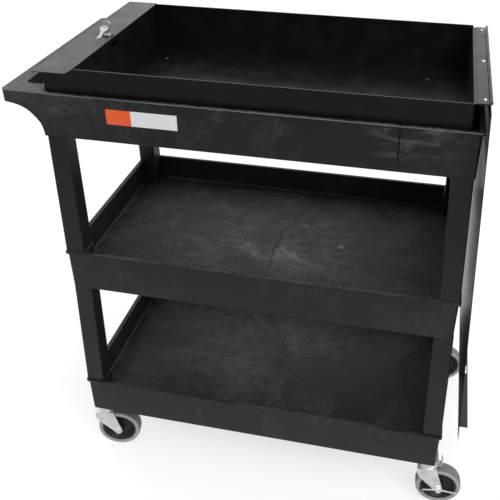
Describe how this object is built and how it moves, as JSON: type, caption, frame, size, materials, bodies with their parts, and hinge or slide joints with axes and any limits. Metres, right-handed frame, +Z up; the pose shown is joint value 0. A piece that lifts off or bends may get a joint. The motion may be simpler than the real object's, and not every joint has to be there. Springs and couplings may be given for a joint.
{
  "type": "tool cart",
  "caption": "Plastic tub-shelf tool cart with a moulded push handle, swivel casters and a lockable steel tool box in the top tub, its hinged lid hanging open.",
  "frame": {"origin": "floor level, in the middle of the whole cart's bounding box with the lid hanging open", "axes": "+Z up; +X from the push handle towards the lid's hinge; +Y from the front towards the back"},
  "size_m": [0.958, 0.475, 1.0369],
  "materials": {
    "shelf_plastic": "moulded structural foam with swirl marks",
    "leg_plastic": "moulded, fine texture",
    "box_steel": "black powder coat",
    "lid_steel": "black semi-gloss powder coat",
    "hinge_steel": "black semi-gloss powder coat",
    "zinc_steel": "bright zinc plate",
    "rivet_aluminium": "bright",
    "lock_chrome": "polished",
    "key_nickel": "nickel plated",
    "caster_zinc": "bright zinc plate",
    "hub_plastic": "moulded",
    "tread_rubber": "smooth grey, non-marking",
    "label_film": "plain two-tone label with no lettering"
  },
  "bodies": {
    "frame": {"bottom_shelf": "shelf_plastic", "mid_shelf": "shelf_plastic", "top_shelf": "shelf_plastic", "lower_leg_fl": "leg_plastic", "lower_leg_fr": "leg_plastic", "lower_leg_rl": "leg_plastic", "lower_leg_rr": "leg_plastic", "upper_leg_fl": "leg_plastic", "upper_leg_fr": "leg_plastic", "upper_leg_rl": "leg_plastic", "upper_leg_rr": "leg_plastic", "tool_box": "box_steel", "lock_wall": "box_steel", "lock_cover": "box_steel", "hinge_leaf_box": "hinge_steel", "hinge_pin": "zinc_steel", "box_rivets": "rivet_aluminium", "cover_studs": "zinc_steel", "cover_nuts": "zinc_steel", "box_bolts": "box_steel", "box_nuts": "zinc_steel", "lock_body": "lock_chrome", "lock_nut": "zinc_steel", "caster_stem_fl": "caster_zinc", "caster_stem_fr": "caster_zinc", "caster_stem_rl": "caster_zinc", "caster_stem_rr": "caster_zinc", "label": "label_film"},
    "lid": {"lid_panel": "lid_steel", "hinge_leaf_lid": "hinge_steel", "lid_rivets": "rivet_aluminium"},
    "lock_plug": {"lock_plug": "lock_chrome", "lock_cam": "zinc_steel", "cam_screw": "zinc_steel", "key": "key_nickel", "spare_key": "key_nickel", "key_ring": "key_nickel"},
    "caster_fl": {"fork_fl": "caster_zinc", "axle_fl": "caster_zinc"},
    "wheel_fl": {"wheel_hub_fl": "hub_plastic", "tread_fl": "tread_rubber"},
    "caster_fr": {"fork_fr": "caster_zinc", "axle_fr": "caster_zinc", "brake_spring_fr": "caster_zinc"},
    "wheel_fr": {"wheel_hub_fr": "hub_plastic", "tread_fr": "tread_rubber"},
    "brake_fr": {"brake_lever_fr": "caster_zinc"},
    "caster_rl": {"fork_rl": "caster_zinc", "axle_rl": "caster_zinc"},
    "wheel_rl": {"wheel_hub_rl": "hub_plastic", "tread_rl": "tread_rubber"},
    "caster_rr": {"fork_rr": "caster_zinc", "axle_rr": "caster_zinc", "brake_spring_rr": "caster_zinc"},
    "wheel_rr": {"wheel_hub_rr": "hub_plastic", "tread_rr": "tread_rubber"},
    "brake_rr": {"brake_lever_rr": "caster_zinc"}
  },
  "joints": [
    {"name": "lid_hinge", "type": "hinge", "parent": "frame", "child": "lid", "pos_m": [0.42456, 0, 0.999], "axis": [0, 1, 0], "range_deg": [-267.8, 0]},
    {"name": "lock_turn", "type": "hinge", "parent": "frame", "child": "lock_plug", "pos_m": [-0.34484, -0.024, 1], "axis": [0, 0, 1], "range_deg": [0, 90]},
    {"name": "swivel_fl", "type": "hinge", "parent": "frame", "child": "caster_fl", "pos_m": [-0.37704, -0.197, 0.112], "axis": [0, 0, 1], "continuous": true},
    {"name": "wheel_spin_fl", "type": "hinge", "parent": "caster_fl", "child": "wheel_fl", "pos_m": [-0.34848, -0.19196, 0.0508], "axis": [-0.1736, 0.9848, 0], "continuous": true},
    {"name": "swivel_fr", "type": "hinge", "parent": "frame", "child": "caster_fr", "pos_m": [0.39896, -0.197, 0.112], "axis": [0, 0, 1], "continuous": true},
    {"name": "wheel_spin_fr", "type": "hinge", "parent": "caster_fr", "child": "wheel_fr", "pos_m": [0.42789, -0.19498, 0.0508], "axis": [-0.0698, 0.9976, 0], "continuous": true},
    {"name": "brake_rock_fr", "type": "hinge", "parent": "caster_fr", "child": "brake_fr", "pos_m": [0.42789, -0.19498, 0.0508], "axis": [-0.0698, 0.9976, 0], "range_deg": [0, 15]},
    {"name": "swivel_rl", "type": "hinge", "parent": "frame", "child": "caster_rl", "pos_m": [-0.37704, 0.197, 0.112], "axis": [0, 0, 1], "continuous": true},
    {"name": "wheel_spin_rl", "type": "hinge", "parent": "caster_rl", "child": "wheel_rl", "pos_m": [-0.3482, 0.19397, 0.0508], "axis": [0.1045, 0.9945, 0], "continuous": true},
    {"name": "swivel_rr", "type": "hinge", "parent": "frame", "child": "caster_rr", "pos_m": [0.39896, 0.197, 0.112], "axis": [0, 0, 1], "continuous": true},
    {"name": "wheel_spin_rr", "type": "hinge", "parent": "caster_rr", "child": "wheel_rr", "pos_m": [0.42768, 0.20104, 0.0508], "axis": [-0.1392, 0.9903, 0], "continuous": true},
    {"name": "brake_rock_rr", "type": "hinge", "parent": "caster_rr", "child": "brake_rr", "pos_m": [0.42768, 0.20104, 0.0508], "axis": [-0.1392, 0.9903, 0], "range_deg": [0, 15]}
  ]
}
